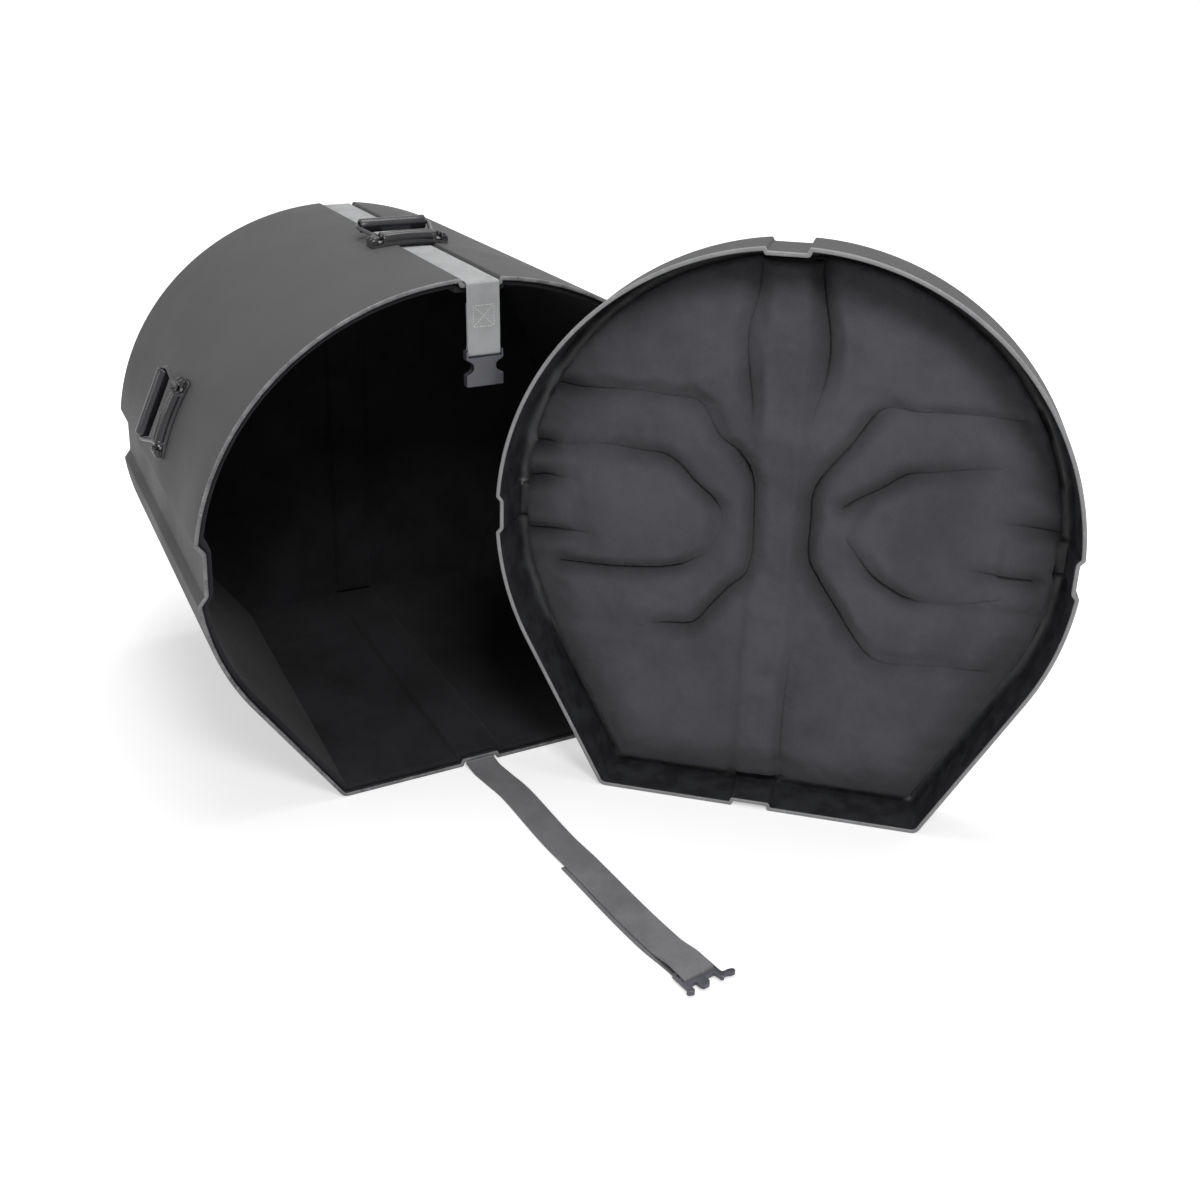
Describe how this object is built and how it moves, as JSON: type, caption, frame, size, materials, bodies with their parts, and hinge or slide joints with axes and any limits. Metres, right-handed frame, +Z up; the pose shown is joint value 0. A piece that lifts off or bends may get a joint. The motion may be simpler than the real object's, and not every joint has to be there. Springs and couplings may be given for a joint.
{
  "type": "bass drum case with lift-off lid",
  "caption": "D-shaped moulded bass drum case lying open on its flat foot, padded lid standing beside it, webbing strap with side-release buckle, swing handles.",
  "frame": {"origin": "on the floor under the middle of the whole layout's box: tub, lid and free strap", "axes": "+Z up; +Y from the tub's mouth to its closed back, along the tub's axis; +X to the right seen from the mouth, where the lid stands"},
  "size_m": [0.8484, 1.0006, 0.6596],
  "materials": {
    "moulded_plastic": "fine pebbled matte",
    "black_lining": "brushed black fabric over foam",
    "brushed_lining": "brushed black fabric over foam",
    "grey_webbing": "grey woven webbing",
    "buckle_plastic": "satin moulded plastic",
    "handle_plastic": "glossy black plastic",
    "coated_wire": "black coated steel",
    "grip_rubber": "smooth dark rubber"
  },
  "bodies": {
    "case_body": {"body_shell": "moulded_plastic", "body_liner": "black_lining", "strap_wrap": "grey_webbing", "top_handle_base": "handle_plastic", "top_handle_cap_low": "handle_plastic", "top_handle_cap_high": "handle_plastic", "top_handle_rivet_low": "coated_wire", "top_handle_rivet_high": "coated_wire", "left_handle_base": "handle_plastic", "left_handle_cap_low": "handle_plastic", "left_handle_cap_high": "handle_plastic", "left_handle_rivet_low": "coated_wire", "left_handle_rivet_high": "coated_wire", "right_handle_base": "handle_plastic", "right_handle_cap_low": "handle_plastic", "right_handle_cap_high": "handle_plastic", "right_handle_rivet_low": "coated_wire", "right_handle_rivet_high": "coated_wire"},
    "lid": {"lid_shell": "moulded_plastic", "lid_liner": "brushed_lining"},
    "top_strap_end": {"strap_hanging_end": "grey_webbing"},
    "buckle_socket": {"female_buckle": "buckle_plastic"},
    "floor_strap": {"strap_floor_run": "grey_webbing", "male_buckle": "buckle_plastic"},
    "top_handle": {"top_handle_bail": "coated_wire", "top_handle_grip": "grip_rubber"},
    "left_handle": {"left_handle_bail": "coated_wire", "left_handle_grip": "grip_rubber"},
    "right_handle": {"right_handle_bail": "coated_wire", "right_handle_grip": "grip_rubber"}
  },
  "joints": [
    {"name": "lid_lift", "type": "slide", "parent": "case_body", "child": "lid", "axis": [0.26, -0.26, 0.93], "range_m": [0, 0.75]},
    {"name": "top_strap_swing", "type": "hinge", "parent": "case_body", "child": "top_strap_end", "pos_m": [-0.08801, -0.02571, 0.5954], "axis": [1, 0, 0], "range_deg": [-95, 28]},
    {"name": "buckle_swing", "type": "hinge", "parent": "top_strap_end", "child": "buckle_socket", "pos_m": [-0.08801, -0.02301, 0.5225], "axis": [1, 0, 0], "range_deg": [-55, 55]},
    {"name": "floor_strap_swing", "type": "hinge", "parent": "case_body", "child": "floor_strap", "pos_m": [-0.10501, -0.02451, 0.0048], "axis": [-1, 0, 0], "range_deg": [0, 65]},
    {"name": "top_handle_swing", "type": "hinge", "parent": "case_body", "child": "top_handle", "pos_m": [-0.09601, 0.18919, 0.6093], "axis": [1, 0, 0], "range_deg": [0, 100]},
    {"name": "left_handle_swing", "type": "hinge", "parent": "case_body", "child": "left_handle", "pos_m": [-0.39342, 0.18919, 0.42852], "axis": [0.4332, 0, 0.9013], "range_deg": [0, 100]},
    {"name": "right_handle_swing", "type": "hinge", "parent": "case_body", "child": "right_handle", "pos_m": [0.20139, 0.18919, 0.42852], "axis": [0.4332, 0, -0.9013], "range_deg": [0, 100]}
  ]
}
